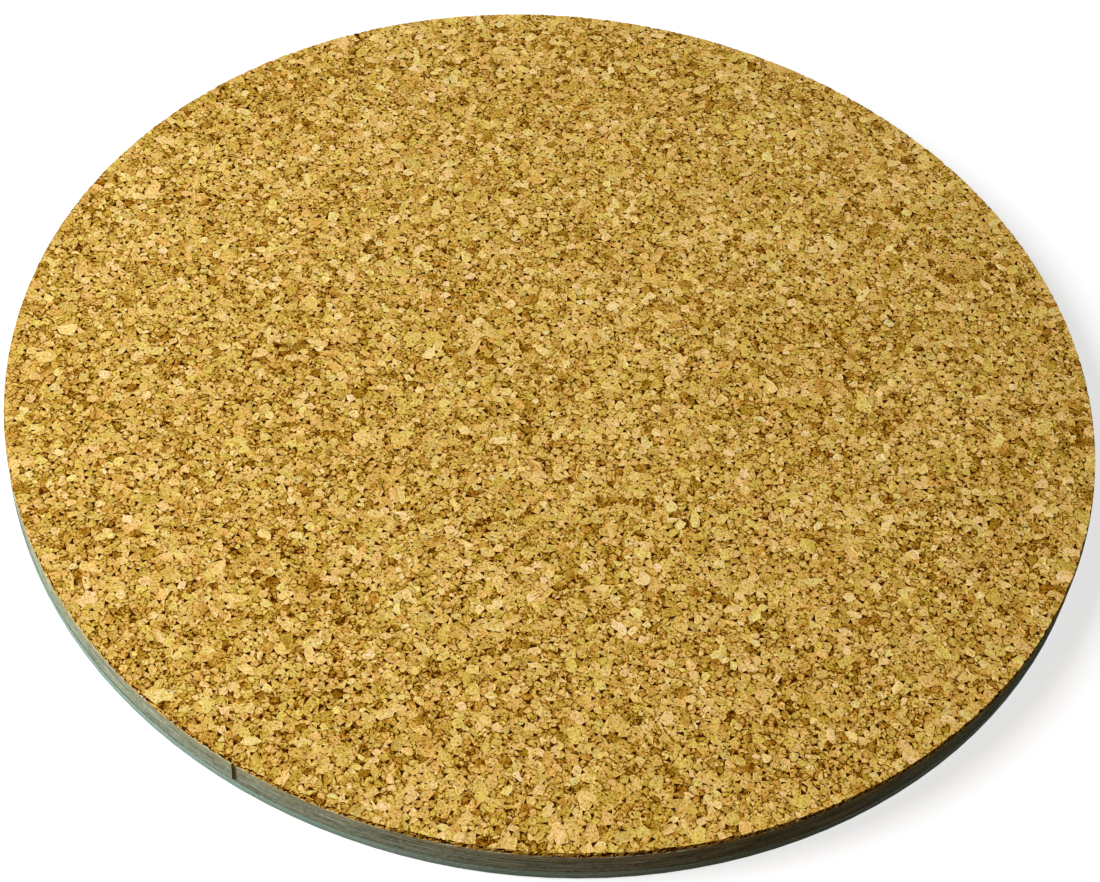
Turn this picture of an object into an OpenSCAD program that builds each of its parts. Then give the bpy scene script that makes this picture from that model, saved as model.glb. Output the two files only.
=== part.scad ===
// Round frameless cork pin board: a cork sheet on a softboard core with a foam
// back, a plastic band glued round the edge, and a sawtooth hanger let into
// the foam. +Z points out of the cork, +Y is up when the board hangs, and the
// origin is the centre of the back face.

/* [Board] */
// Diameter over the edge band
board_d = 300; // [200:10:450]

/* [Layers] */
// Thickness of the cork sheet
cork_t = 4; // [3:0.5:6]
// Bevel on the cork's top edge
cork_bevel = 0.4; // [0.2:0.1:0.8]
// Thickness of the softboard core
core_t = 4.5; // [3:0.5:10]
// Thickness of the foam sheet on the back
foam_t = 3; // [3:0.5:6]
// Chamfer on the foam's back edge
foam_chamfer = 0.4; // [0.2:0.1:0.8]
// Thickness of each double-sided bonding film
film_t = 0.2; // [0.1:0.05:0.4]

/* [Edge band] */
// Thickness of the plastic band
band_t = 0.6; // [0.4:0.1:1.5]
// Gap of the hot-melt glue line behind the band
band_glue = 0.1; // [0.05:0.05:0.2]
// Open gap where the ends of the band meet
band_joint = 0.8; // [0.4:0.1:2]
// How far the top of the band stays below the cork surface
band_setback = 1.4; // [0.2:0.1:2]
// Chamfer on the outer edges of the band
band_chamfer = 0.2; // [0.1:0.05:0.3]
// Width of the line pressed into the band over the cork joint
band_line_w = 0.6; // [0.3:0.1:1]
// Depth of the pressed line
band_line_depth = 0.2; // [0.05:0.05:0.25]

/* [Hanger] */
// Length of the hanger plate
hanger_l = 46; // [40:1:60]
// Width of the hanger plate
hanger_w = 9; // [8:0.5:12]
// Sheet thickness of the hanger plate
hanger_t = 0.8; // [0.6:0.1:1]
// Space between the toothed bridge and the core, where a nail head goes
hanger_rise = 1.4; // [1:0.1:1.6]
// Inner radius of the bends between the feet and the bridge
bend_r = 0.8; // [0.6:0.1:1.2]
// Length of each flat foot, round end included
foot_l = 9; // [8:0.5:10]
// Number of notches between the teeth
notch_count = 7; // [3:2:9]
// Distance from notch to notch
notch_pitch = 2.8; // [2.2:0.1:3]
// Depth of each notch
notch_depth = 2; // [1.2:0.1:3]
// Flat at the bottom of each notch, where the nail sits
notch_flat = 0.5; // [0.3:0.1:0.8]
// Flat left on the tip of each tooth
tooth_flat = 0.3; // [0.2:0.1:0.6]
// Distance from the top of the rim down to the middle of the hanger
hanger_drop = 45; // [30:5:60]

/* [Hanger pocket] */
// Space between each end of the hanger and the pocket wall
pocket_end = 5; // [2:0.5:10]
// Space above the hanger
pocket_above = 3; // [2:0.5:8]
// Space below the teeth, where the nail head goes in
pocket_below = 12; // [10:1:20]
// Corner radius of the pocket
pocket_r = 5; // [3:0.5:8]

/* [Hanger screws] */
// Shank diameter of the hanger screws
screw_d = 2.4; // [2:0.1:3]
// Head diameter
screw_head_d = 4.8; // [4:0.1:6]
// Head height
screw_head_h = 1.2; // [0.8:0.1:1.4]
// Height of the straight rim under the domed head
screw_rim_h = 0.2; // [0.1:0.05:0.3]
// Length of the cross recess in the head
recess_l = 2.6; // [2:0.1:3]
// Width of the cross recess in the head
recess_w = 0.6; // [0.5:0.05:0.9]
// Depth of the cross recess
recess_depth = 0.7; // [0.4:0.05:0.7]
// Length of the pointed tip
screw_tip_l = 1.4; // [1:0.1:1.8]
// Core left between the tip of a screw and the cork
screw_cover = 0.6; // [0.5:0.1:1]
// Space round the shank in the hanger's hole
screw_clear = 0.2; // [0.1:0.05:0.4]
// Space round the shank in the core
pilot_clear = 0.02; // [0.01:0.01:0.05]

/* [Hidden] */
$fn = 96;

eps = 0.01;
round_fn = 256;

// Heights of the layers above the back face
core_back_z = foam_t + film_t;
core_top_z = core_back_z + core_t;
cork_back_z = core_top_z + film_t;
board_t = cork_back_z + cork_t;

// The foam and its film are cut to the full size, the rest fits in the band
board_r = board_d / 2;
band_inner_r = board_r - band_t;
sheet_r = band_inner_r - band_glue;

// The band stands on the foam's film and stops short of the cork surface
band_top_z = board_t - band_setback;
band_joint_angle = 2 * asin(band_joint / 2 / board_r);

// Hanger, whose own heights are measured down from the back of the core
hanger_y = board_r - hanger_drop;
hanger_depth = hanger_rise + hanger_t;
bend_mid_r = bend_r + hanger_t / 2;
bend_angle = acos(1 - hanger_rise / 2 / bend_mid_r);
bend_steps = 8;
bend_l = 2 * bend_mid_r * sin(bend_angle);
bridge_half = hanger_l / 2 - foot_l - bend_l;
screw_x = hanger_l / 2 - hanger_w / 2;

// Pocket cut through the foam and its film
pocket_half = hanger_l / 2 + pocket_end;
pocket_top_y = hanger_y + hanger_w / 2 + pocket_above;
pocket_bottom_y = hanger_y - hanger_w / 2 - pocket_below;

// Screws
screw_seat_z = core_back_z - hanger_t;
screw_tip_z = core_top_z - screw_cover;
screw_l = screw_tip_z - screw_seat_z;

// A flat disc whose lower face is at height z
module sheet(r, z, t) {
    translate([0, 0, z]) cylinder(r = r, h = t, $fn = round_fn);
}

// Plan of the pocket: a rectangle with round corners
module pocket_plan() {
    middle_y = (pocket_top_y + pocket_bottom_y) / 2;
    height = pocket_top_y - pocket_bottom_y;
    translate([0, middle_y]) {
        square([2 * pocket_half, height - 2 * pocket_r], center = true);
        square([2 * (pocket_half - pocket_r), height], center = true);
        for (x = [-1, 1], y = [-1, 1])
            translate([x * (pocket_half - pocket_r), y * (height / 2 - pocket_r)])
                circle(r = pocket_r);
    }
}

module pocket(z, t) {
    translate([0, 0, z - eps]) linear_extrude(t + 2 * eps) pocket_plan();
}

module cork_face() {
    color("#c89b4d") rotate_extrude($fn = round_fn) polygon([
        [0, cork_back_z],
        [sheet_r, cork_back_z],
        [sheet_r, board_t - cork_bevel],
        [sheet_r - cork_bevel, board_t],
        [0, board_t]
    ]);
}

module cork_bond_film() {
    color("#d9cfae") sheet(sheet_r, core_top_z, film_t);
}

module core_board() {
    pilot_l = screw_tip_z - core_back_z + pilot_clear;
    color("#8a6a45") difference() {
        sheet(sheet_r, core_back_z, core_t);
        for (x = [-screw_x, screw_x])
            translate([x, hanger_y, core_back_z - eps])
                cylinder(d = screw_d + 2 * pilot_clear, h = pilot_l + eps);
    }
}

module foam_bond_film() {
    color("#d9cfae") difference() {
        sheet(board_r, foam_t, film_t);
        pocket(foam_t, film_t);
    }
}

module foam_back() {
    color("#6f8a83") difference() {
        rotate_extrude($fn = round_fn) polygon([
            [0, 0],
            [board_r - foam_chamfer, 0],
            [board_r, foam_chamfer],
            [board_r, foam_t],
            [0, foam_t]
        ]);
        pocket(0, foam_t);
    }
}

// Section of the band, with the line pressed in where cork and core meet
module band_section() {
    polygon([
        [band_inner_r, core_back_z],
        [board_r - band_chamfer, core_back_z],
        [board_r, core_back_z + band_chamfer],
        [board_r, cork_back_z - band_line_w / 2],
        [board_r - band_line_depth, cork_back_z],
        [board_r, cork_back_z + band_line_w / 2],
        [board_r, band_top_z - band_chamfer],
        [board_r - band_chamfer, band_top_z],
        [band_inner_r, band_top_z]
    ]);
}

// The band goes once round the rim, and its ends meet at the bottom
module edge_band() {
    color("#7d837a") rotate([0, 0, -90 + band_joint_angle / 2])
        rotate_extrude(angle = 360 - band_joint_angle, $fn = round_fn) band_section();
}

// Points along an arc, without its first point
function arc(centre, r, from, to) =
    [for (i = [1:bend_steps]) let (at = from + (to - from) * i / bend_steps)
        centre + r * [cos(at), sin(at)]];

// One side of the right half of the strip, from the bridge to the foot's end
function strip_line(side) =
    let (
        core_side = side == "core",
        first_r = core_side ? bend_r : bend_r + hanger_t,
        second_r = core_side ? bend_r + hanger_t : bend_r,
        first_centre = [bridge_half, bend_r - hanger_rise],
        second_centre = [bridge_half + bend_l, -hanger_t - bend_r]
    )
    concat(
        [first_centre - [0, first_r]],
        arc(first_centre, first_r, -90, bend_angle - 90),
        arc(second_centre, second_r, bend_angle + 90, 90),
        [[hanger_l / 2, second_centre[1] + second_r]]
    );

function reversed(points) = [for (i = [len(points) - 1:-1:0]) points[i]];
function mirrored(points) = [for (p = points) [-p[0], p[1]]];

// Side view of the strip: a bridge, then at each end an S-shaped step to a foot
module folded_strip() {
    core_line = strip_line("core");
    wall_line = strip_line("wall");
    polygon(concat(
        reversed(mirrored(core_line)),
        core_line,
        reversed(wall_line),
        mirrored(wall_line)
    ));
}

// Plan of the strip, with round ends
module hanger_plan() {
    end_x = hanger_l / 2 - hanger_w / 2;
    square([2 * end_x, hanger_w], center = true);
    for (x = [-end_x, end_x]) translate([x, 0]) circle(d = hanger_w);
}

// Notch open towards the bottom of the board, with a flat for the nail
module notch() {
    mouth = (notch_pitch - tooth_flat) / 2;
    polygon([
        [-mouth, -eps],
        [mouth, -eps],
        [mouth, 0],
        [notch_flat / 2, notch_depth],
        [-notch_flat / 2, notch_depth],
        [-mouth, 0]
    ]);
}

module through_plate() {
    translate([0, 0, -hanger_depth - eps])
        linear_extrude(hanger_depth + 2 * eps) children();
}

module sawtooth_hanger() {
    first_x = -(notch_count - 1) / 2 * notch_pitch;
    color("#b9b9b4") translate([0, hanger_y, core_back_z]) difference() {
        intersection() {
            rotate([90, 0, 0]) translate([0, 0, -hanger_w])
                linear_extrude(2 * hanger_w) folded_strip();
            through_plate() hanger_plan();
        }
        for (i = [0:notch_count - 1])
            through_plate()
                translate([first_x + i * notch_pitch, -hanger_w / 2]) notch();
        for (x = [-screw_x, screw_x])
            through_plate()
                translate([x, 0]) circle(d = screw_d + 2 * screw_clear);
    }
}

// Screw seen in section: domed head below the seat, shank and tip above it
module screw_section() {
    head_r = screw_head_d / 2;
    cap_h = screw_head_h - screw_rim_h;
    dome_r = (head_r * head_r + cap_h * cap_h) / 2 / cap_h;
    translate([0, -screw_rim_h]) square([head_r, screw_rim_h]);
    intersection() {
        translate([0, dome_r - screw_head_h]) circle(r = dome_r);
        translate([0, -screw_head_h]) square([head_r, cap_h]);
    }
    polygon([
        [0, -screw_rim_h],
        [screw_d / 2, -screw_rim_h],
        [screw_d / 2, screw_l - screw_tip_l],
        [0, screw_l]
    ]);
}

module hanger_screw(side) {
    color("#c9c9c4") translate([side * screw_x, hanger_y, screw_seat_z]) difference() {
        rotate_extrude() screw_section();
        for (turn = [45, 135])
            rotate([0, 0, turn]) translate([0, 0, -screw_head_h + recess_depth / 2 - eps])
                cube([recess_l, recess_w, recess_depth], center = true);
    }
}

cork_face();
cork_bond_film();
core_board();
foam_bond_film();
foam_back();
edge_band();
sawtooth_hanger();
hanger_screw(-1);  // hanger_screw_left
hanger_screw(1);  // hanger_screw_right
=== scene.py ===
import math
import random

import bmesh
import bpy
from mathutils import Matrix, Vector, noise


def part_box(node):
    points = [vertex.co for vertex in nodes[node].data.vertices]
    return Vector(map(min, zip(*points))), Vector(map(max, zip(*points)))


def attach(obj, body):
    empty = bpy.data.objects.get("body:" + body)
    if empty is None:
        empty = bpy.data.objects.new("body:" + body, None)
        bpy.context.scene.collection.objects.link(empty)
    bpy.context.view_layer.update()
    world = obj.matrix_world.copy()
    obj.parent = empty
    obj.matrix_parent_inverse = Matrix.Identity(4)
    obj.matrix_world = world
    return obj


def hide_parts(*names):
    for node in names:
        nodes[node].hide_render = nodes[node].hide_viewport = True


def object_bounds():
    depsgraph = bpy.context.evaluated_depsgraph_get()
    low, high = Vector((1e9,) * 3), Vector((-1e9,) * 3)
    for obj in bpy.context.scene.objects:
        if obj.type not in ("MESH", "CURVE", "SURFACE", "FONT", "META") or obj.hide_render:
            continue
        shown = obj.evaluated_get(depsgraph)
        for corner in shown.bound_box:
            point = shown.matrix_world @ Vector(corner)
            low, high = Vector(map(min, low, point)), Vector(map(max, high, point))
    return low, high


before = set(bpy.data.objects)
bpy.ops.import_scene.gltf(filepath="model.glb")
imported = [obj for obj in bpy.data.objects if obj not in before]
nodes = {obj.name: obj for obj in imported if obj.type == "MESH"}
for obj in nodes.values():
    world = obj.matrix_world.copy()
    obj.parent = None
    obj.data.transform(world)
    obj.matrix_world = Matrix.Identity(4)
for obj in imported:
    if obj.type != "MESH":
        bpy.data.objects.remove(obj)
cad_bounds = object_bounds()


# Cork face: a sheet of agglomerated cork, 4 mm thick, bonded to the core. Bark is
# ground to chips, pressed into a block and sliced, so the face shows chips of
# every tone, pits where crumbs tore out, and a crumbly rim above the band.
MM = 0.001
CORK_SEED = 11
CHIP_SPACING = 2.2 * MM        # from the middle of one chip to the next
CHIP_SCATTER = 0.44            # most that a middle lies off its place, in spacings
CHIP_LIMIT = 5.2 * MM * MM     # middling size up to which chips are joined
PITS = ((0.14, 0.75 * MM), (0.40, 0.42 * MM), (0.75, 0.26 * MM))  # share of corners, and reach
PIT_DEPTH = 0.7                # as a share of its reach
BEND_FROM = 0.85 * MM          # a chip's side from this length up gets a bend
BEND = 0.20 * MM               # middling shift of that bend
TOP_RELIEF = 0.16 * MM         # how far one chip may lie below its neighbour
RIM_LOSS = 0.4 * MM            # most that has crumbled off the rim
RIM_ROWS = 3                   # rows of crumbs on the side above the band
ROW_WANDER = 0.12 * MM         # how far a crumb lies above or below its row
OVERHANG = 0.55 * MM           # how far the side's foot reaches out over the band's top
FOOT_GAP = 0.03 * MM           # between that foot and the band's top
EDGE_WEAR = 0.4 * MM           # how far the face's edge is worn back from the foot

cork_low, cork_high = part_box("cork_face")
cork_r = cork_high.x
side_r = cork_r + OVERHANG
face_r = side_r - EDGE_WEAR
side_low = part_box("edge_band")[1].z + FOOT_GAP
rng = random.Random(CORK_SEED)


def edges_inside_chips(bm):
    """Joins neighbours into chips of many sizes, and returns the edges inside them."""
    parent = {f: f for f in bm.faces}

    def root(f):
        while parent[f] is not f:
            parent[f] = parent[parent[f]]
            f = parent[f]
        return f

    area = {f: f.calc_area() for f in bm.faces}
    limit = {f: CHIP_LIMIT * rng.lognormvariate(0.0, 0.4) for f in bm.faces}
    inner = [e for e in bm.edges if len(e.link_faces) == 2]
    rng.shuffle(inner)
    for e in inner:
        a, b = (root(f) for f in e.link_faces)
        if a is not b and area[a] + area[b] < max(limit[a], limit[b]):
            parent[b] = a
            area[a] += area[b]
            limit[a] = max(limit[a], limit[b])
    return [e for e in inner if root(e.link_faces[0]) is root(e.link_faces[1])]


# Scattered points, joined by triangles, each stand for one chip's middle.
bm = bmesh.new()
cells = int(2 * face_r / CHIP_SPACING) + 8
bmesh.ops.create_grid(bm, x_segments=cells, y_segments=cells, size=cells * CHIP_SPACING / 2)
for v in bm.verts:
    turn = rng.uniform(0, 2 * math.pi)
    shift = CHIP_SPACING * CHIP_SCATTER * math.sqrt(rng.random())
    v.co += Vector((math.cos(turn), math.sin(turn), 0)) * shift
outside = [v for v in bm.verts if v.co.length > face_r + 2.5 * CHIP_SPACING]
bmesh.ops.delete(bm, geom=outside, context="VERTS")
bmesh.ops.triangulate(bm, faces=bm.faces[:], quad_method="SHORT_EDGE")
# Turning that net inside out gives each point a cell of its own: a corner in
# every triangle, an edge across every side, and the points themselves gone.
middles = list(bm.verts)
sides = list(bm.edges)
bmesh.ops.poke(bm, faces=bm.faces[:])
bmesh.ops.rotate_edges(bm, edges=[e for e in sides if not e.is_boundary], use_ccw=False)
bmesh.ops.dissolve_verts(bm, verts=[v for v in middles if v.is_valid and not v.is_boundary])
# The cells that lie on the sheet stay, and the outer ones end on its round rim.
outside = [f for f in bm.faces if f.calc_center_median().length > face_r - 0.3 * CHIP_SPACING]
bmesh.ops.delete(bm, geom=outside, context="FACES")
bmesh.ops.dissolve_edges(bm, edges=edges_inside_chips(bm), use_verts=True)
bmesh.ops.delete(bm, geom=[v for v in bm.verts if not v.link_faces], context="VERTS")

painted_shade_layer = bm.loops.layers.float.new("painted_shade")
chip_layer = bm.faces.layers.float_color.new("chip")
for f in bm.faces:
    f[chip_layer] = (rng.random(), rng.random(), rng.random(), rng.random())


def by_place(parts):
    """Vertices, loops or faces in one order on every run; bevel's own order changes."""
    def place_of(part):
        if isinstance(part, bmesh.types.BMVert):
            return part.co[:]
        if isinstance(part, bmesh.types.BMLoop):
            return part.vert.co[:]
        return part.calc_center_median()[:]
    return sorted(parts, key=place_of)


def darken(face, deep, level_in, level_out):
    """Sets how dark a face's corners are: those at the vertices in deep, and the others."""
    for loop in face.loops:
        loop[painted_shade_layer] = level_in if loop.vert in deep else level_out


# Where crumbs tore out at the corners of three chips, pits are left. Their faces also get painted shade,
# darkest at the middle, over the hollow's own shadow.
corners = [v for v in bm.verts if not v.is_boundary]
pit_middles = {}
for share, reach in PITS:
    torn = {}
    for v in corners:
        if not v.is_valid or rng.random() > share:
            continue
        if min(e.calc_length() for e in v.link_edges) < 1.2 * reach:
            continue
        if not any(e.other_vert(v) in torn for e in v.link_edges):
            torn[v] = reach
    step = bmesh.ops.bevel(bm, geom=list(torn), offset=reach, offset_type="OFFSET", affect="VERTICES",
                           segments=1, profile=0.5, material=-1, clamp_overlap=False)
    step = bmesh.ops.poke(bm, faces=step["faces"])
    for v in by_place(step["verts"]):
        pit_middles[v] = reach
        # It opens further along one of the three joints that meet there.
        rim = by_place(e.other_vert(v) for e in v.link_edges)
        end = rng.choice(rim)
        ahead = next(e.other_vert(end) for e in end.link_edges if e.other_vert(end) not in rim + [v])
        end.co = end.co.lerp(ahead.co, rng.uniform(0.1, 0.85))
    for f in by_place(step["faces"]):
        darken(f, pit_middles, 1.0, rng.uniform(0.4, 0.8))
# And one in five of a chip's own corners gets a painted shade that fades across the chip.
chips = {f for f in bm.faces if not f.loops[0][painted_shade_layer]}
for f in by_place(chips):
    for loop in by_place(f.loops):
        loop[painted_shade_layer] = rng.choice((0.0, 0.0, 0.0, 0.0, 0.45))
# Chips are torn and not cut: their longer sides bend, the rim crumbles a
# little, and no two corners lie at the same height.
long_sides = [e for e in bm.edges if e.calc_length() > BEND_FROM and chips.issuperset(e.link_faces)]
step = bmesh.ops.subdivide_edges(bm, edges=long_sides, cuts=1)
for v in by_place(part for part in step["geom_inner"] if isinstance(part, bmesh.types.BMVert)):
    v.co += Vector((rng.gauss(0, BEND), rng.gauss(0, BEND), 0))
gone = set()
for v in by_place(bm.verts):
    if v.is_boundary:
        loss = rng.uniform(0, 0.15) if rng.random() < 0.7 else rng.uniform(0.2, 1.0)
        v.co *= (face_r - loss * RIM_LOSS) / v.co.length
        if loss > 0.5:
            gone.add(v)
    elif v.co.length > face_r - RIM_LOSS:
        v.co *= (face_r - RIM_LOSS) / v.co.length
    v.co.z = cork_high.z - TOP_RELIEF * rng.random() ** 1.5 - PIT_DEPTH * pit_middles.get(v, 0.0)
# The side goes down in rows of crumbs, then in under the overhang, and down inside the band.
# All of it gets a light painted shade, deeper where a crumb is gone.
for row in range(1, RIM_ROWS + 3):
    down = min(row / RIM_ROWS, 1.0)
    radius = face_r + (side_r - face_r) * down if row <= RIM_ROWS else cork_r
    level = cork_high.z + (side_low - cork_high.z) * down if row <= RIM_ROWS + 1 else cork_low.z
    step = bmesh.ops.extrude_edge_only(bm, edges=[e for e in bm.edges if e.is_boundary])
    for v in by_place(part for part in step["geom"] if isinstance(part, bmesh.types.BMVert)):
        loss = 0.0
        if row <= RIM_ROWS:
            loss = rng.uniform(0, 0.25) if rng.random() < 0.75 else rng.uniform(0.4, 1.0)
        if loss > 0.5:
            gone.add(v)
        v.co *= (radius - loss * RIM_LOSS) / v.co.to_2d().length
        v.co.z = level + (row < RIM_ROWS) * rng.uniform(-ROW_WANDER, ROW_WANDER)
    for f in by_place(part for part in step["geom"] if isinstance(part, bmesh.types.BMFace)):
        f[chip_layer] = (rng.random(), rng.random(), rng.random(), rng.random())
        # Painted shade on the side, deepest at the hollows where crumbs are gone.
        darken(f, gone, 0.8, rng.choice((0.2, 0.3, 0.4)))
bmesh.ops.edgeloop_fill(bm, edges=[e for e in bm.edges if e.is_boundary])
bmesh.ops.recalc_face_normals(bm, faces=bm.faces[:])
mesh = bpy.data.meshes.new("cork_sheet")
bm.to_mesh(mesh)
bm.free()
cork = bpy.data.objects.new("cork_sheet", mesh)
bpy.context.scene.collection.objects.link(cork)


def hex_colour(text):
    """sRGB hex to the linear colour that Blender's sockets hold."""
    parts = [int(text[i:i + 2], 16) / 255 for i in (1, 3, 5)]
    return tuple(c / 12.92 if c <= 0.04045 else ((c + 0.055) / 1.055) ** 2.4 for c in parts) + (1.0,)


def add(tree, kind, inputs=None, stops=(), **settings):
    """Adds a node: its settings, its ramp's stops (grey levels or hex colours), and for
    its inputs values, sockets, or nodes, which are linked by their first output in use.
    Inputs go by name, or by number where a node's names repeat, as in Math and Mix."""
    node = tree.nodes.new("ShaderNode" + kind)
    for name, value in settings.items():
        setattr(node, name, value)
    while stops and len(node.color_ramp.elements) < len(stops):
        node.color_ramp.elements.new(0.5)
    for i, (place, colour) in enumerate(stops):
        node.color_ramp.elements[i].position = place
        node.color_ramp.elements[i].color = (
            hex_colour(colour) if isinstance(colour, str) else (colour, colour, colour, 1.0))
    for name, value in (inputs or {}).items():
        if isinstance(value, bpy.types.Node):
            value = next(output for output in value.outputs if output.enabled)
        if isinstance(value, bpy.types.NodeSocket):
            tree.links.new(value, node.inputs[name])
        else:
            node.inputs[name].default_value = value
    return node


def new_material(name, **shader):
    """A material with its Principled shader, whose even values go straight on its sockets."""
    material = bpy.data.materials.new(name)
    material.use_nodes = True
    tree = material.node_tree
    surface = tree.nodes["Principled BSDF"]
    for socket, value in shader.items():
        surface.inputs[socket.replace("_", " ")].default_value = value
    return material, tree, surface


# Cork is suberin: matte and warm. A chip's tone, a crumb's tone, the growth
# lines and the painted shade in pits, cracks and seams all add up to one lightness, from burnt brown to
# cream.
material, tree, surface = new_material("agglomerated_cork", Specular_IOR_Level=0.04)
place = add(tree, "TexCoord").outputs["Object"]
chip = add(tree, "SeparateColor", {"Color": add(tree, "Attribute", attribute_name="chip").outputs["Color"]})
painted_shade = add(tree, "Attribute", attribute_name="painted_shade").outputs["Fac"]
# Half of the chips are clusters of crumbs, which a bent net of 1.8 mm cells cuts out.
wander = add(tree, "TexNoise", {"Vector": place, "Scale": 1 / (0.9 * MM), "Detail": 3.0, "Roughness": 0.7})
bent = add(tree, "VectorMath", {
    0: wander.outputs["Color"], 1: (0.6 * MM, 0.6 * MM, 0.6 * MM), 2: place}, operation="MULTIPLY_ADD")
crumb = add(tree, "TexVoronoi", {"Vector": bent, "Scale": 1 / (1.8 * MM)})
seam = add(tree, "TexVoronoi", {"Vector": bent, "Scale": 1 / (1.8 * MM)}, feature="DISTANCE_TO_EDGE")
crumb = add(tree, "SeparateColor", {"Color": crumb.outputs["Color"]})
cluster = add(tree, "Math", {0: chip.outputs["Blue"], 1: 0.5}, operation="GREATER_THAN")
tone = add(tree, "Mix", {0: cluster, 2: chip.outputs["Red"], 3: crumb.outputs["Red"]})
hue = add(tree, "Mix", {0: cluster, 2: chip.outputs["Green"], 3: crumb.outputs["Green"]})
hue = add(tree, "Math", {0: wander, 1: 1.0, 2: hue}, operation="MULTIPLY_ADD")
hue = add(tree, "Math", {0: hue, 1: 0.84, 2: -0.34}, operation="MULTIPLY_ADD")
tone = add(tree, "ValToRGB", {"Fac": tone}, stops=[
    (0.0, 0.30), (0.06, 0.46), (0.25, 0.58), (0.7, 0.67), (0.93, 0.77), (1.0, 0.84)])
# Growth lines lie another way in every crumb.
turn = add(tree, "Math", {0: crumb.outputs["Blue"], 1: 2 * math.pi}, operation="MULTIPLY")
turned = add(tree, "VectorRotate", {"Vector": place, "Angle": turn}, rotation_type="Z_AXIS")
grain = add(tree, "TexNoise", {
    "Vector": add(tree, "Mapping", {"Vector": turned, "Scale": (1.0, 2.2, 1.0)}),
    "Scale": 1 / (0.9 * MM), "Detail": 3.0, "Roughness": 0.65})
tone = add(tree, "Math", {0: grain, 1: 0.95, 2: tone}, operation="MULTIPLY_ADD")
speckle = add(tree, "TexNoise", {"Vector": place, "Scale": 1 / (0.7 * MM), "Detail": 2.0, "Roughness": 0.6})
dots = add(tree, "ValToRGB", {"Fac": speckle}, stops=[(0.31, 0.0), (0.44, 0.38), (0.7, 0.50)])
tone = add(tree, "Math", {0: tone, 1: dots}, operation="ADD")
cloud = add(tree, "TexNoise", {"Vector": place, "Scale": 1 / (25 * MM), "Detail": 2.0})
tone = add(tree, "Math", {0: cloud, 1: 0.12, 2: tone}, operation="MULTIPLY_ADD")
# Painted shade: the corners' levels darken the pits, some chip corners and the side. The pits' own edges are
# ragged, so the noise shifts where that shade begins.
ragged = add(tree, "Math", {0: speckle, 1: 0.9, 2: painted_shade}, operation="MULTIPLY_ADD")
ragged = add(tree, "Math", {0: ragged, 1: 0.5}, operation="SUBTRACT")
dark = add(tree, "ValToRGB", {"Fac": ragged}, stops=[(0.12, 0.0), (0.35, 0.16), (0.50, 0.65), (0.66, 0.95)])
tone = add(tree, "Math", {0: tone, 1: dark}, operation="SUBTRACT")
# The seams between crumbs are closed in most places and open to a crack in some, painted dark as shade, with
# a groove in the bump.
where = add(tree, "ValToRGB", {"Fac": wander}, stops=[(0.46, 0.0), (0.60, 0.5)])
crack = add(tree, "ValToRGB", {"Fac": seam.outputs["Distance"]}, stops=[(0.03, 1.0), (0.10, 0.0)])
crack = add(tree, "Math", {0: crack, 1: where}, operation="MULTIPLY")
crack = add(tree, "Math", {0: crack, 1: cluster}, operation="MULTIPLY")
tone = add(tree, "Math", {0: tone, 1: crack}, operation="SUBTRACT")
# Painted shade on each crumb in a cluster, darker towards its seams, as if the crumbs were domed.
shade = add(tree, "ValToRGB", {"Fac": seam.outputs["Distance"]}, stops=[(0.0, 0.14), (0.20, 0.0)])
shade = add(tree, "Math", {0: shade, 1: cluster}, operation="MULTIPLY")
tone = add(tree, "Math", {0: tone, 1: shade}, operation="SUBTRACT")
tone = add(tree, "Math", {0: tone, 1: 0.865}, operation="SUBTRACT")
body = add(tree, "ValToRGB", {"Fac": tone}, stops=[
    (0.0, "#3A1A00"), (0.15, "#603400"), (0.30, "#885A06"), (0.45, "#AA8424"), (0.60, "#CDAC50"),
    (0.72, "#E1C46E"), (0.84, "#EFD68A"), (0.93, "#F8E5A4"), (1.0, "#FCF0BC")])
tint = add(tree, "ValToRGB", {"Fac": hue}, stops=[
    (0.0, "#FFDEB8"), (0.12, "#FFECDC"), (0.30, "#FFF1FF"), (0.48, "#FFF3CC"), (0.62, "#FCF4FC"),
    (0.80, "#F8F6B8"), (0.93, "#F2F0EE"), (1.0, "#E0D8EE")])
body = add(tree, "Mix", {0: 1.0, 6: body, 7: tint}, data_type="RGBA", blend_type="MULTIPLY")
tree.links.new(body.outputs[2], surface.inputs["Base Color"])
dull = add(tree, "ValToRGB", {"Fac": grain}, stops=[(0.3, 0.95), (0.7, 0.80)])
tree.links.new(dull.outputs[0], surface.inputs["Roughness"])
height = add(tree, "Math", {0: grain, 1: speckle}, operation="ADD")
height = add(tree, "Math", {0: crumb.outputs["Green"], 1: 0.8, 2: height}, operation="MULTIPLY_ADD")
height = add(tree, "Math", {0: crack, 1: -2.0, 2: height}, operation="MULTIPLY_ADD")
relief = add(tree, "Bump", {"Height": height, "Strength": 0.7, "Distance": 0.07 * MM})
tree.links.new(relief.outputs[0], surface.inputs["Normal"])
cork.data.materials.append(material)
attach(cork, "root")
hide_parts("cork_face")


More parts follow.
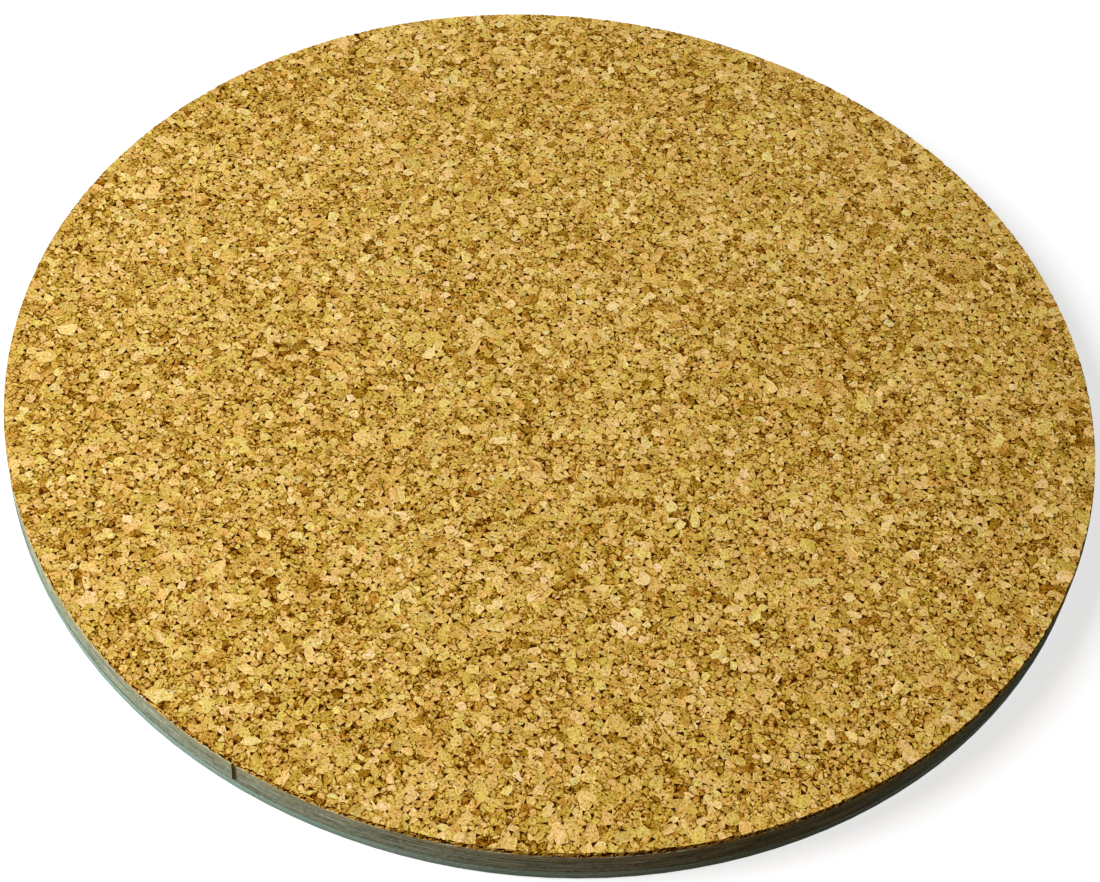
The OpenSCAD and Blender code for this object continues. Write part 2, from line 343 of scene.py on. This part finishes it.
# Bonding films: double-sided acrylic film, 0.2 mm thick and slightly yellow,
# rolled on between cork and core and between core and foam. Only the cut edge
# of the lower one shows, as a fine line between the band and the foam.
material, tree, surface = new_material("acrylic_film", Specular_IOR_Level=0.2)
place = add(tree, "TexCoord").outputs["Object"]
dust = add(tree, "TexNoise", {"Vector": place, "Scale": 1 / (1.5 * MM), "Detail": 4.0})
colour = add(tree, "ValToRGB", {"Fac": dust}, stops=[(0.3, "#5C6452"), (0.6, "#737C66"), (0.8, "#868F78")])
tree.links.new(colour.outputs[0], surface.inputs["Base Color"])
dull = add(tree, "ValToRGB", {"Fac": dust}, stops=[(0.3, 0.60), (0.7, 0.35)])
tree.links.new(dull.outputs[0], surface.inputs["Roughness"])
relief = add(tree, "Bump", {"Height": dust, "Strength": 0.3, "Distance": 0.02 * MM})
tree.links.new(relief.outputs[0], surface.inputs["Normal"])
for name in ("cork_bond_film", "foam_bond_film"):
    nodes[name].data.materials.clear()
    nodes[name].data.materials.append(material)


# Core: softboard, wood fibre pressed to 4.5 mm. It stiffens the cork, holds the
# points of the pins, and shows only in the hanger's pocket and the band's joint.
material, tree, surface = new_material("softboard", Specular_IOR_Level=0.2)
place = add(tree, "TexCoord").outputs["Object"]
fibre = add(tree, "TexNoise", {
    "Vector": add(tree, "Mapping", {"Vector": place, "Scale": (1.0, 5.0, 5.0)}).outputs[0],
    "Scale": 1 / (3 * MM), "Detail": 6.0, "Roughness": 0.7, "Distortion": 1.5})
colour = add(tree, "ValToRGB", {"Fac": fibre}, stops=[(0.3, "#6B5236"), (0.5, "#8F7350"), (0.7, "#B0946B")])
tree.links.new(colour.outputs[0], surface.inputs["Base Color"])
dull = add(tree, "ValToRGB", {"Fac": fibre}, stops=[(0.3, 0.95), (0.7, 0.80)])
tree.links.new(dull.outputs[0], surface.inputs["Roughness"])
relief = add(tree, "Bump", {"Height": fibre, "Strength": 0.7, "Distance": 0.15 * MM})
tree.links.new(relief.outputs[0], surface.inputs["Normal"])
nodes["core_board"].data.materials.clear()
nodes["core_board"].data.materials.append(material)


# Edge band: grey PVC edging, 0.6 mm thick, streaked by the die it was drawn
# through and glued round cork and core, with a line pressed in over their joint.
# Its ends meet at the bottom of the board with a gap, and have sprung out there.
BAND_SEED = 23
BAND_WALL = 0.6 * MM
BAND_CHAMFER = 0.2 * MM
LINE_WIDTH = 0.6 * MM
LINE_DEPTH = 0.2 * MM
STREAK_PITCH = 0.28 * MM
STREAK_DEPTH = 0.035 * MM
JOINT_GAP = 1.5 * MM
END_SPRING = 0.15 * MM         # how far the ends stand out from the rest
END_REACH = 5 * MM             # length over which they do
WAVE_RATE = 30                 # slow waves in the streaks, per metre of the band
BAND_STEPS = 600               # straight steps round the board

band_low, band_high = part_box("edge_band")
band_r = band_high.x - END_SPRING
line_z = (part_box("cork_bond_film")[0].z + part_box("cork_bond_film")[1].z) / 2
rng = random.Random(BAND_SEED)
bm = bmesh.new()
profile = [(band_r - BAND_WALL, band_low.z), (band_r - BAND_CHAMFER, band_low.z)]
flat = band_high.z - band_low.z - 2 * BAND_CHAMFER
streaks = round(flat / STREAK_PITCH)
for i in range(streaks + 1):
    z = band_low.z + BAND_CHAMFER + i * flat / streaks
    in_line = max(0.0, 1 - abs(z - line_z) / (LINE_WIDTH / 2))
    profile.append((band_r - rng.uniform(0, STREAK_DEPTH) - LINE_DEPTH * in_line, z))
profile += [(band_r - BAND_CHAMFER, band_high.z), (band_r - BAND_WALL, band_high.z)]
loop = [bm.verts.new((0, -r, z)) for r, z in profile]
ring = [bm.edges.new((loop[i], loop[(i + 1) % len(loop)])) for i in range(len(loop))]
gap_turn = JOINT_GAP / band_r
bmesh.ops.rotate(bm, verts=loop, cent=(0, 0, 0), matrix=Matrix.Rotation(gap_turn / 2, 3, "Z"))
bmesh.ops.spin(bm, geom=loop + ring, cent=(0, 0, 0), axis=(0, 0, 1), angle=2 * math.pi - gap_turn,
               steps=BAND_STEPS, use_merge=False, use_duplicate=False)
bmesh.ops.holes_fill(bm, edges=[e for e in bm.edges if e.is_boundary])
for v in bm.verts:
    radius = v.co.to_2d().length
    around = abs(math.atan2(v.co.x, -v.co.y)) * radius
    spot = Vector((v.co.x * WAVE_RATE, v.co.y * WAVE_RATE, v.co.z / STREAK_PITCH))
    wave = noise.noise(spot) * STREAK_DEPTH
    spring = END_SPRING * max(0.0, 1 - around / END_REACH) ** 2
    scale = (radius + spring - max(0.0, wave)) / radius
    v.co.x *= scale
    v.co.y *= scale
bmesh.ops.recalc_face_normals(bm, faces=bm.faces[:])
mesh = bpy.data.meshes.new("edging")
bm.to_mesh(mesh)
bm.free()
band = bpy.data.objects.new("edging", mesh)
bpy.context.scene.collection.objects.link(band)

# PVC edging is matte. The die's streaks run along it, light and dark, under fine
# scuffs, with painted shade in the pressed line and a warm stain of cork dust above it.
material, tree, surface = new_material("pvc_edging", Specular_IOR_Level=0.0)
place = add(tree, "TexCoord").outputs["Object"]
streak = add(tree, "TexNoise", {
    "Vector": add(tree, "Mapping", {"Vector": place, "Scale": (0.03, 0.03, 1.0)}),
    "Scale": 1 / (0.45 * MM), "Detail": 4.0, "Roughness": 0.75})
scuff = add(tree, "TexNoise", {"Vector": place, "Scale": 1 / (1.2 * MM), "Detail": 4.0, "Roughness": 0.7})
mixed = add(tree, "Math", {0: scuff, 1: 0.35, 2: streak}, operation="MULTIPLY_ADD")
mixed = add(tree, "Math", {0: mixed, 1: 0.175}, operation="SUBTRACT")
height = add(tree, "SeparateXYZ", {0: place}).outputs["Z"]
# Painted shade: the pressed line is drawn darker.
in_line = add(tree, "Math", {0: height, 1: line_z, 2: 0.5 * LINE_WIDTH}, operation="COMPARE")
mixed = add(tree, "Math", {0: in_line, 1: -0.08, 2: mixed}, operation="MULTIPLY_ADD")
lower = add(tree, "ValToRGB", {"Fac": mixed}, stops=[(0.38, "#666C5A"), (0.5, "#9CA68F"), (0.62, "#C2CCB4")])
upper = add(tree, "ValToRGB", {"Fac": mixed}, stops=[(0.38, "#7C7C64"), (0.5, "#A6A888"), (0.62, "#C8CAA8")])
dusty = add(tree, "Math", {0: height, 1: line_z}, operation="GREATER_THAN")
colour = add(tree, "Mix", {0: dusty, 6: lower, 7: upper}, data_type="RGBA")
tree.links.new(colour.outputs[2], surface.inputs["Base Color"])
dull = add(tree, "ValToRGB", {"Fac": mixed}, stops=[(0.38, 0.65), (0.62, 0.45)])
tree.links.new(dull.outputs[0], surface.inputs["Roughness"])
relief = add(tree, "Bump", {"Height": mixed, "Strength": 0.5, "Distance": 0.06 * MM})
tree.links.new(relief.outputs[0], surface.inputs["Normal"])
band.data.materials.append(material)
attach(band, "root")
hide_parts("edge_band")


# Foam back: closed-cell EVA foam, 3 mm thick and teal grey, cut to the full
# size of the board, with the pocket for the hanger punched through it. Cut
# foam has soft corners and open cells on its sides.
FOAM_CORNER = 0.35 * MM
FLAT_BELOW = math.radians(1)   # faces that turn by less are joined to one
SHARP_FROM = math.radians(35)  # edges from this turn up are rounded
CREASE_FROM = math.radians(40)  # edges from this turn up still look sharp after that


def softened(name, label, width):
    """A copy of a CAD piece with its sharp corners rounded, to take its place."""
    bm = bmesh.new()
    bm.from_mesh(nodes[name].data)
    bmesh.ops.remove_doubles(bm, verts=bm.verts[:], dist=0.001 * MM)
    bmesh.ops.dissolve_limit(bm, angle_limit=FLAT_BELOW, verts=bm.verts[:], edges=bm.edges[:])
    sharp = [e for e in bm.edges if e.calc_face_angle(0) > SHARP_FROM]
    bmesh.ops.bevel(bm, geom=sharp, offset=width, offset_type="OFFSET", affect="EDGES",
                    segments=3, profile=0.5, material=-1, clamp_overlap=True)
    for f in bm.faces:
        f.smooth = True
    mesh = bpy.data.meshes.new(label)
    bm.to_mesh(mesh)
    bm.free()
    mesh.set_sharp_from_angle(angle=CREASE_FROM)
    copy = bpy.data.objects.new(label, mesh)
    bpy.context.scene.collection.objects.link(copy)
    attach(copy, "root")
    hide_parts(name)
    return copy


# EVA foam has a dry skin: cloudy over some 14 mm, mottled, and dimpled by its cells.
material, tree, surface = new_material("eva_foam", Specular_IOR_Level=0.02)
place = add(tree, "TexCoord").outputs["Object"]
cell = add(tree, "TexVoronoi", {"Vector": place, "Scale": 1 / (0.45 * MM)})
skin = add(tree, "TexNoise", {"Vector": place, "Scale": 1 / (14 * MM), "Detail": 3.0})
mottle = add(tree, "TexNoise", {"Vector": place, "Scale": 1 / (0.8 * MM), "Detail": 3.0, "Roughness": 0.7})
mixed = add(tree, "Math", {0: skin, 1: 0.35, 2: mottle}, operation="MULTIPLY_ADD")
mixed = add(tree, "Math", {0: cell.outputs["Distance"], 1: 0.5, 2: mixed}, operation="MULTIPLY_ADD")
mixed = add(tree, "Math", {0: mixed, 1: 0.4}, operation="SUBTRACT")
colour = add(tree, "ValToRGB", {"Fac": mixed}, stops=[
    (0.25, "#7F9E8F"), (0.5, "#93B1A3"), (0.75, "#A6C0B3")])
tree.links.new(colour.outputs[0], surface.inputs["Base Color"])
dull = add(tree, "ValToRGB", {"Fac": mixed}, stops=[(0.25, 0.85), (0.75, 0.65)])
tree.links.new(dull.outputs[0], surface.inputs["Roughness"])
relief = add(tree, "Bump", {"Height": cell.outputs["Distance"], "Strength": 0.3, "Distance": 0.06 * MM})
tree.links.new(relief.outputs[0], surface.inputs["Normal"])
foam = softened("foam_back", "foam_sheet", FOAM_CORNER)
foam.data.materials.append(material)


# Hanger: a strip of sheet steel, 0.8 mm thick, stamped with a row of teeth,
# bent away from the board between its two screws, and zinc plated. Rolling and
# plating leave it finely streaked along its length.
HANGER_EDGE = 0.12 * MM
material, tree, surface = new_material("zinc_plated_steel", Metallic=1.0)
place = add(tree, "TexCoord").outputs["Object"]
rolled = add(tree, "TexNoise", {
    "Vector": add(tree, "Mapping", {"Vector": place, "Scale": (1.0, 14.0, 14.0)}),
    "Scale": 1 / (8 * MM), "Detail": 5.0, "Roughness": 0.7})
spangle = add(tree, "TexVoronoi", {"Vector": place, "Scale": 1 / (1.6 * MM)})
colour = add(tree, "ValToRGB", {"Fac": rolled}, stops=[(0.3, "#A9ADB0"), (0.5, "#C0C3C4"), (0.7, "#D0CFCA")])
tree.links.new(colour.outputs[0], surface.inputs["Base Color"])
dull = add(tree, "Math", {0: spangle.outputs["Distance"], 1: 0.2, 2: rolled}, operation="MULTIPLY_ADD")
dull = add(tree, "ValToRGB", {"Fac": dull}, stops=[(0.3, 0.26), (0.8, 0.46)])
tree.links.new(dull.outputs[0], surface.inputs["Roughness"])
relief = add(tree, "Bump", {"Height": rolled, "Strength": 0.25, "Distance": 0.02 * MM})
tree.links.new(relief.outputs[0], surface.inputs["Normal"])
hanger = softened("sawtooth_hanger", "toothed_strip", HANGER_EDGE)
hanger.data.materials.append(material)


# Hanger screws: two dome-headed wood screws with a cross recess, of hardened
# steel, zinc plated and passivated to a faint yellow.
SCREW_EDGE = 0.1 * MM
material, tree, surface = new_material("passivated_steel", Metallic=1.0)
place = add(tree, "TexCoord").outputs["Object"]
cloud = add(tree, "TexNoise", {"Vector": place, "Scale": 1 / (1.2 * MM), "Detail": 4.0})
colour = add(tree, "ValToRGB", {"Fac": cloud}, stops=[(0.3, "#B9B08F"), (0.5, "#C9C3A8"), (0.7, "#D2CFBE")])
tree.links.new(colour.outputs[0], surface.inputs["Base Color"])
dull = add(tree, "ValToRGB", {"Fac": cloud}, stops=[(0.3, 0.22), (0.7, 0.38)])
tree.links.new(dull.outputs[0], surface.inputs["Roughness"])
relief = add(tree, "Bump", {"Height": cloud, "Strength": 0.2, "Distance": 0.02 * MM})
tree.links.new(relief.outputs[0], surface.inputs["Normal"])
for side in ("left", "right"):
    screw = softened("hanger_screw_" + side, "dome_screw_" + side, SCREW_EDGE)
    screw.data.materials.append(material)


# Stage: a pale table, a large soft light high on the left, weak ones low at the
# front and on the right, a faint warm glow all round, and a lamp below.
VIEW_TURN = math.radians(26.1)
VIEW_RISE = math.radians(48.96)
VIEW_ROLL = math.radians(6.54)
VIEW_DISTANCE = 4.059          # from the middle of the face, in radii of the board
VIEW_SHIFT = (0.0018, -0.1712)  # where the camera aims on the face, in radii
LENS = 72.0
TABLE_HALF = 6.0               # half a side of the table, in metres
TABLE_DROP = 0.2 * MM          # how far it lies below the board
top_z = cad_bounds[1].z
board_r = cad_bounds[1].x
camera_right = Vector((math.cos(VIEW_TURN), math.sin(VIEW_TURN), 0))
camera_away = Vector((-math.sin(VIEW_TURN), math.cos(VIEW_TURN), 0))


def on_table(right, away, up):
    """A place by the camera's view: to its right, away from it, and up."""
    return camera_right * right + camera_away * away + Vector((0, 0, up))


def area_light(name, place, aim, size, power, colour="#FFFFFF"):
    """A round lamp at a place, turned to aim: its width in metres and power in watts."""
    data = bpy.data.lights.new(name, "AREA")
    data.shape = "DISK"
    data.size = size
    data.energy = power
    data.color = hex_colour(colour)[:3]
    lamp = bpy.data.objects.new(name, data)
    bpy.context.scene.collection.objects.link(lamp)
    turn = (place - aim).to_track_quat("Z", "Y").to_matrix().to_4x4()
    lamp.matrix_world = Matrix.Translation(place) @ turn


centre = Vector((0, 0, top_z))
area_light("key_light", on_table(-1.25, -0.18, 1.03), centre, 1.2, 42.0)
area_light("fill_light", on_table(-0.75, -1.3, 0.55), centre, 0.8, 3.6, "#FFD7BC")
area_light("side_light", on_table(1.4, 0.5, 0.2), centre, 0.3, 2.6)
area_light("back_light", Vector((0, 0, -0.8)), Vector((0, 0, 0)), 0.2, 4.5)

bm = bmesh.new()
bmesh.ops.create_grid(bm, x_segments=1, y_segments=1, size=TABLE_HALF)
bmesh.ops.translate(bm, verts=bm.verts[:], vec=(0, 0, -TABLE_DROP))
mesh = bpy.data.meshes.new("table")
bm.to_mesh(mesh)
bm.free()
table = bpy.data.objects.new("table", mesh)
bpy.context.scene.collection.objects.link(table)
# The table is a pale matte one with a glow that makes it near white. Only the
# camera, mirrors and glass see it, and only from above: it throws no light on the
# object and lets the lamp below shine through.
material = bpy.data.materials.new("pale_table")
material.use_nodes = True
tree = material.node_tree
tree.nodes.clear()
path = add(tree, "LightPath").outputs
seen = add(tree, "Math", {0: path["Is Glossy Ray"], 1: path["Is Transmission Ray"]}, operation="MAXIMUM")
seen = add(tree, "Math", {0: seen, 1: path["Is Camera Ray"]}, operation="MAXIMUM")
under = add(tree, "NewGeometry").outputs["Backfacing"]
above = add(tree, "Math", {0: 1.0, 1: under}, operation="SUBTRACT")
seen = add(tree, "Math", {0: seen, 1: above}, operation="MULTIPLY")
matte = add(tree, "BsdfDiffuse", {"Color": (0.45, 0.45, 0.45, 1)}).outputs[0]
glow = add(tree, "Emission", {"Color": (1, 1, 1, 1), "Strength": 0.72}).outputs[0]
lit = add(tree, "AddShader", {0: matte, 1: glow}).outputs[0]
clear = add(tree, "BsdfTransparent").outputs[0]
top = add(tree, "MixShader", {0: seen, 1: clear, 2: lit}).outputs[0]
add(tree, "OutputMaterial", {"Surface": top})
table.data.materials.append(material)

# The room looks white to the camera, mirrors and glass, and lights the object
# only with a faint warm glow.
world = bpy.data.worlds.new("studio")
bpy.context.scene.world = world
world.use_nodes = True
tree = world.node_tree
tree.nodes.clear()
path = add(tree, "LightPath").outputs
seen = add(tree, "Math", {0: path["Is Glossy Ray"], 1: path["Is Transmission Ray"]}, operation="MAXIMUM")
seen = add(tree, "Math", {0: seen, 1: path["Is Camera Ray"]}, operation="MAXIMUM")
level = add(tree, "Math", {0: seen, 1: 0.98, 2: 0.02}, operation="MULTIPLY_ADD")
tinge = add(tree, "Mix", {0: seen, 6: hex_colour("#FFC870"), 7: (1, 1, 1, 1)}, data_type="RGBA").outputs[2]
glow = add(tree, "Background", {"Color": tinge, "Strength": level}).outputs[0]
add(tree, "OutputWorld", {"Surface": glow})

camera_data = bpy.data.cameras.new("camera")
camera_data.sensor_width = 36.0
camera_data.lens = LENS
camera = bpy.data.objects.new("camera", camera_data)
bpy.context.scene.collection.objects.link(camera)
place = centre + on_table(0, -math.cos(VIEW_RISE), math.sin(VIEW_RISE)) * VIEW_DISTANCE * board_r
aim = centre + on_table(VIEW_SHIFT[0], VIEW_SHIFT[1], 0) * board_r
turn = (place - aim).to_track_quat("Z", "Y").to_matrix().to_4x4()
camera.matrix_world = Matrix.Translation(place) @ turn @ Matrix.Rotation(VIEW_ROLL, 4, "Z")
camera_data.clip_start = 0.01
bpy.context.scene.camera = camera
bpy.context.scene.view_settings.view_transform = "Standard"
